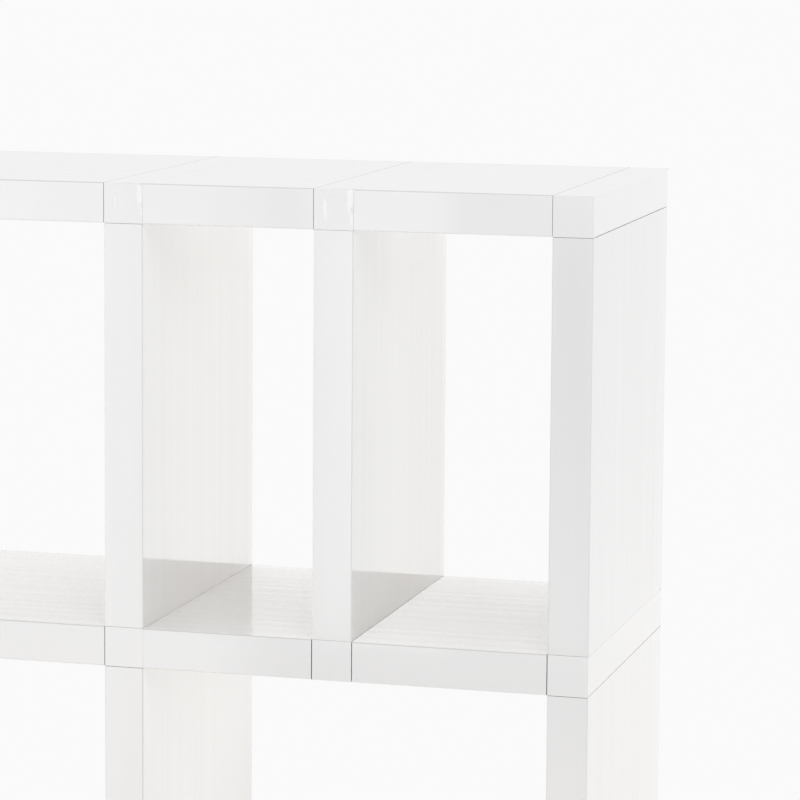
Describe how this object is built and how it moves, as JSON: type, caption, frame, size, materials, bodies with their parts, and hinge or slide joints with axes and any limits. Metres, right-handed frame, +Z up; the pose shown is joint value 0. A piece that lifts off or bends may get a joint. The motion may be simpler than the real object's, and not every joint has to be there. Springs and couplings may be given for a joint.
{
  "type": "cube storage unit",
  "caption": "Open-backed cube storage unit of glossy white hollow boards joined by square bars through the depth, with one cube split by a divider, on levelling feet.",
  "frame": {"origin": "on the floor, under the middle of the unit's width and depth", "axes": "+X to the right seen from the front, +Y from front to back, +Z up"},
  "size_m": [1.1506, 0.3004, 0.775],
  "materials": {
    "board_white": "high gloss extrusion with faint lengthwise streaks",
    "bar_white": "high gloss, plain",
    "cap_white": "high gloss moulding",
    "tongue_plastic": "plain extrusion, hidden",
    "foot_grey": "fine moulded texture",
    "nut_steel": "zinc plated"
  },
  "bodies": {
    "unit": {"base_joint_bar_1": "bar_white", "base_joint_bar_2": "bar_white", "base_joint_bar_3": "bar_white", "base_joint_bar_4": "bar_white", "base_panel_1": "board_white", "base_panel_2": "board_white", "base_panel_3": "board_white", "front_caps": "cap_white", "lower_upright_1": "board_white", "lower_upright_2": "board_white", "lower_upright_3": "board_white", "lower_upright_4": "board_white", "middle_joint_bar_1": "bar_white", "middle_joint_bar_2": "bar_white", "middle_joint_bar_3": "bar_white", "middle_joint_bar_4": "bar_white", "middle_joint_bar_divider": "bar_white", "middle_shelf_1": "board_white", "middle_shelf_2": "board_white", "middle_shelf_3": "board_white", "middle_shelf_4": "board_white", "nut_plates": "nut_steel", "rear_caps": "cap_white", "shelf_tongues": "tongue_plastic", "top_joint_bar_1": "bar_white", "top_joint_bar_2": "bar_white", "top_joint_bar_3": "bar_white", "top_joint_bar_4": "bar_white", "top_joint_bar_divider": "bar_white", "top_panel_1": "board_white", "top_panel_2": "board_white", "top_panel_3": "board_white", "top_panel_4": "board_white", "upper_divider": "board_white", "upper_upright_1": "board_white", "upper_upright_2": "board_white", "upper_upright_3": "board_white", "upper_upright_4": "board_white", "upright_tongues": "tongue_plastic"},
    "foot_1_front": {"levelling_foot_1_front": "foot_grey"},
    "foot_1_rear": {"levelling_foot_1_rear": "foot_grey"},
    "foot_2_front": {"levelling_foot_2_front": "foot_grey"},
    "foot_2_rear": {"levelling_foot_2_rear": "foot_grey"},
    "foot_3_front": {"levelling_foot_3_front": "foot_grey"},
    "foot_3_rear": {"levelling_foot_3_rear": "foot_grey"},
    "foot_4_front": {"levelling_foot_4_front": "foot_grey"},
    "foot_4_rear": {"levelling_foot_4_rear": "foot_grey"}
  },
  "joints": [
    {"name": "foot_1_front_travel", "type": "slide", "parent": "unit", "child": "foot_1_front", "axis": [0, 0, -1], "range_m": [0, 0.012]},
    {"name": "foot_1_rear_travel", "type": "slide", "parent": "unit", "child": "foot_1_rear", "axis": [0, 0, -1], "range_m": [0, 0.012]},
    {"name": "foot_2_front_travel", "type": "slide", "parent": "unit", "child": "foot_2_front", "axis": [0, 0, -1], "range_m": [0, 0.012]},
    {"name": "foot_2_rear_travel", "type": "slide", "parent": "unit", "child": "foot_2_rear", "axis": [0, 0, -1], "range_m": [0, 0.012]},
    {"name": "foot_3_front_travel", "type": "slide", "parent": "unit", "child": "foot_3_front", "axis": [0, 0, -1], "range_m": [0, 0.012]},
    {"name": "foot_3_rear_travel", "type": "slide", "parent": "unit", "child": "foot_3_rear", "axis": [0, 0, -1], "range_m": [0, 0.012]},
    {"name": "foot_4_front_travel", "type": "slide", "parent": "unit", "child": "foot_4_front", "axis": [0, 0, -1], "range_m": [0, 0.012]},
    {"name": "foot_4_rear_travel", "type": "slide", "parent": "unit", "child": "foot_4_rear", "axis": [0, 0, -1], "range_m": [0, 0.012]}
  ]
}
